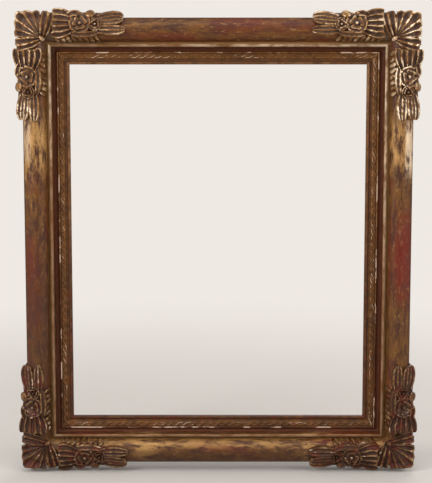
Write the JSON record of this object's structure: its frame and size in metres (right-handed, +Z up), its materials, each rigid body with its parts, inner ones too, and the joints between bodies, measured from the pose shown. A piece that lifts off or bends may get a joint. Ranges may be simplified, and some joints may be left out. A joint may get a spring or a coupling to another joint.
{
  "type": "ornate gilded picture frame",
  "caption": "Gilded picture frame with a rounded frieze, shell and rose corner ornaments, a carved sight edge, ring hangers and turn buttons on the back.",
  "frame": {"origin": "middle of the back plane, where the frame lies against the wall, centred on the picture opening", "axes": "+X to the right seen from the front, +Y back towards the wall, +Z up; the front faces -Y"},
  "size_m": [0.674, 0.0598, 0.776],
  "materials": {
    "frieze_gilt": "antiqued gold leaf, rubbed through to red bole",
    "sight_gilt": "dark worn gilding with white gesso chips",
    "ornament_gilt": "dusty antiqued gilding with pale rubbed tips",
    "key_wood": "bare aged wood",
    "aged_brass": "dull aged brass",
    "screw_steel": "dull steel"
  },
  "bodies": {
    "frame": {"rail_top": "frieze_gilt", "rail_bottom": "frieze_gilt", "rail_left": "frieze_gilt", "rail_right": "frieze_gilt", "sight_strip_top": "sight_gilt", "sight_strip_bottom": "sight_gilt", "sight_strip_left": "sight_gilt", "sight_strip_right": "sight_gilt", "mitre_key_top_left": "key_wood", "mitre_key_top_right": "key_wood", "mitre_key_bottom_left": "key_wood", "mitre_key_bottom_right": "key_wood", "corner_shell_top_left": "ornament_gilt", "corner_shell_top_right": "ornament_gilt", "corner_shell_bottom_left": "ornament_gilt", "corner_shell_bottom_right": "ornament_gilt", "rose_spray_top_left_across": "ornament_gilt", "rose_spray_top_left_upright": "ornament_gilt", "rose_spray_top_right_across": "ornament_gilt", "rose_spray_top_right_upright": "ornament_gilt", "rose_spray_bottom_left_across": "ornament_gilt", "rose_spray_bottom_left_upright": "ornament_gilt", "rose_spray_bottom_right_across": "ornament_gilt", "rose_spray_bottom_right_upright": "ornament_gilt", "hanger_strap_left": "aged_brass", "hanger_strap_right": "aged_brass", "hanger_screws_left": "screw_steel", "hanger_screws_right": "screw_steel", "button_screw_upper_left": "screw_steel", "button_screw_lower_left": "screw_steel", "button_screw_upper_right": "screw_steel", "button_screw_lower_right": "screw_steel"},
    "ring_left": {"hanger_ring_left": "aged_brass"},
    "button_upper_left": {"turn_button_upper_left": "aged_brass"},
    "button_lower_left": {"turn_button_lower_left": "aged_brass"},
    "ring_right": {"hanger_ring_right": "aged_brass"},
    "button_upper_right": {"turn_button_upper_right": "aged_brass"},
    "button_lower_right": {"turn_button_lower_right": "aged_brass"}
  },
  "joints": [
    {"name": "ring_left_swing", "type": "hinge", "parent": "frame", "child": "ring_left", "pos_m": [-0.3, 0.0021, 0.197], "axis": [1, 0, 0], "range_deg": [0, 171]},
    {"name": "button_upper_left_turn", "type": "hinge", "parent": "frame", "child": "button_upper_left", "pos_m": [-0.267, 0.00085, 0.15], "axis": [0, 1, 0], "continuous": true},
    {"name": "button_lower_left_turn", "type": "hinge", "parent": "frame", "child": "button_lower_left", "pos_m": [-0.267, 0.00085, -0.15], "axis": [0, 1, 0], "continuous": true},
    {"name": "ring_right_swing", "type": "hinge", "parent": "frame", "child": "ring_right", "pos_m": [0.3, 0.0021, 0.197], "axis": [1, 0, 0], "range_deg": [0, 171]},
    {"name": "button_upper_right_turn", "type": "hinge", "parent": "frame", "child": "button_upper_right", "pos_m": [0.267, 0.00085, 0.15], "axis": [0, 1, 0], "continuous": true},
    {"name": "button_lower_right_turn", "type": "hinge", "parent": "frame", "child": "button_lower_right", "pos_m": [0.267, 0.00085, -0.15], "axis": [0, 1, 0], "continuous": true}
  ]
}
